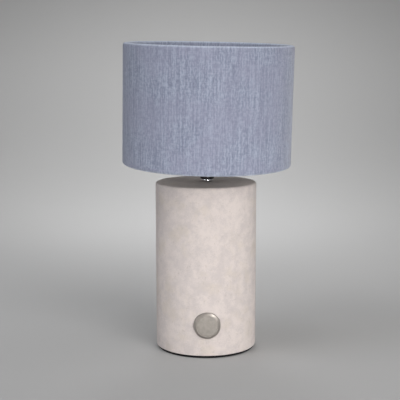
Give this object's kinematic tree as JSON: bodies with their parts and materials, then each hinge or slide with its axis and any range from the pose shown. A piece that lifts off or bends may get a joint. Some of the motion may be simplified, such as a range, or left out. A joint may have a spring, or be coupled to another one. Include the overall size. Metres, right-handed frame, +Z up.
{
  "type": "table lamp",
  "caption": "Table lamp with a cylindrical cast concrete base, a round push switch low on its front, a threaded stem and lampholder, a screw-in bulb and a fabric drum shade.",
  "frame": {"origin": "middle of the flat underside of the foot pad", "axes": "+Z up along the base, -Y to the front where the push switch is, +X to the right seen from the front"},
  "size_m": [0.2027, 0.2043, 0.3661],
  "materials": {
    "cast_concrete": "matte",
    "insert_brass": "satin",
    "plate_zinc": "satin",
    "screw_zinc": "satin",
    "foot_rubber": "matte",
    "bush_black": "matte",
    "block_white": "matte",
    "terminal_brass": "satin",
    "seal_rubber": "matte",
    "bezel_pewter": "satin",
    "button_pewter": "satin",
    "switch_black": "matte",
    "spring_steel": "satin",
    "lead_sleeve": "satin",
    "stem_chrome": "gloss",
    "holder_black": "gloss",
    "core_white": "matte",
    "shell_brass": "satin",
    "bulb_nickel": "satin",
    "bulb_black": "gloss",
    "bulb_white": "satin",
    "bulb_opal": "satin",
    "wire_white": "gloss",
    "liner_white": "satin",
    "shade_linen": "matte"
  },
  "bodies": {
    "base": {"base_shell": "cast_concrete", "screw_inserts": "insert_brass", "base_plate": "plate_zinc", "base_plate_screws": "screw_zinc", "foot_pad": "foot_rubber", "cord_bush": "bush_black", "cord_bush_nut": "bush_black", "terminal_block": "block_white", "terminal_tubes": "terminal_brass", "terminal_screws": "screw_zinc", "block_screws": "screw_zinc", "switch_seal": "seal_rubber", "switch_bezel": "bezel_pewter", "switch_nut": "screw_zinc", "switch_body": "switch_black", "switch_terminals": "terminal_brass", "switch_spring": "spring_steel", "switch_leads": "lead_sleeve", "stem": "stem_chrome", "stem_washer": "screw_zinc", "stem_lock_washer": "screw_zinc", "stem_nut": "screw_zinc", "neck_collar": "stem_chrome", "holder_cap": "holder_black", "cap_lock_screw": "screw_zinc", "holder_core": "core_white", "core_terminals": "terminal_brass", "core_terminal_screws": "screw_zinc", "screw_shell": "shell_brass", "centre_contact": "shell_brass", "holder_skirt": "holder_black", "shade_ring_lower": "holder_black", "holder_leads": "lead_sleeve"},
    "switch_button": {"switch_button": "button_pewter"},
    "shade_ring": {"shade_ring_upper": "holder_black"},
    "bulb": {"bulb_tip": "bulb_nickel", "bulb_insulator": "bulb_black", "bulb_cap": "bulb_nickel", "bulb_housing": "bulb_white", "bulb_dome": "bulb_opal"},
    "shade": {"shade_fitter": "wire_white", "shade_arms": "wire_white", "shade_low_ring": "wire_white", "shade_top_ring": "wire_white", "shade_liner": "liner_white", "shade_fabric": "shade_linen", "shade_top_hem": "shade_linen", "shade_low_hem": "shade_linen"}
  },
  "joints": [
    {"name": "button_press", "type": "slide", "parent": "base", "child": "switch_button", "axis": [0, 1, 0], "range_m": [0, 0.002], "stiffness_N_per_m": 500, "springref_m": -0.004, "deforming": ["switch_spring"]},
    {"name": "shade_turn", "type": "hinge", "parent": "base", "child": "shade", "pos_m": [0.0015, 0, 0.262], "axis": [0, 0, 1], "continuous": true},
    {"name": "shade_ring_turn", "type": "hinge", "parent": "base", "child": "shade_ring", "pos_m": [0.0015, 0, 0.266], "axis": [0, 0, 1], "range_deg": [0, 720]},
    {"name": "bulb_out", "type": "slide", "parent": "base", "child": "bulb", "axis": [0, 0, 1], "range_m": [0, 0.026]}
  ]
}
